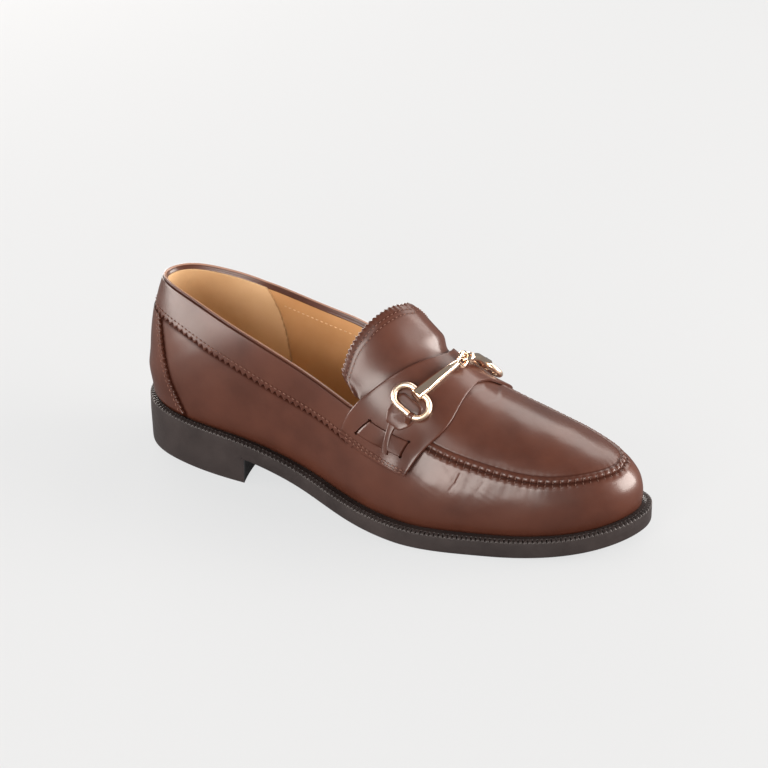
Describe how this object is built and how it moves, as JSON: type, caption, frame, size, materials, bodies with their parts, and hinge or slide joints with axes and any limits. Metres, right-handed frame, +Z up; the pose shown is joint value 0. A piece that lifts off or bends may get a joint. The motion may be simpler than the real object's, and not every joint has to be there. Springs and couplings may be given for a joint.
{
  "type": "horsebit loafer",
  "caption": "Right-foot slip-on leather loafer with a moc-toe vamp, saddle strap, metal snaffle bit, pinked tongue and low heel.",
  "frame": {"origin": "on the floor under the middle of the shoe's box", "axes": "+X from heel to toe, +Y to the inner side of the foot, +Z up"},
  "size_m": [0.2621, 0.0935, 0.0998],
  "materials": {
    "sole": "satin black edge",
    "welt": "black, satin",
    "heel": "satin black",
    "lining": "tan, matt",
    "calf": "brown, polished",
    "bit": "pale gold plate, polished"
  },
  "bodies": {
    "root": {"outsole": "sole", "welt": "welt", "heel": "heel", "insole": "lining", "upper": "calf", "tongue": "calf", "saddle": "calf", "backstay": "calf", "ring_keeper_lateral": "calf", "ring_keeper_medial": "calf", "bit_ring_lateral": "bit", "bit_ring_medial": "bit", "bit_bar_lateral": "bit", "bit_bar_medial": "bit"}
  },
  "joints": []
}
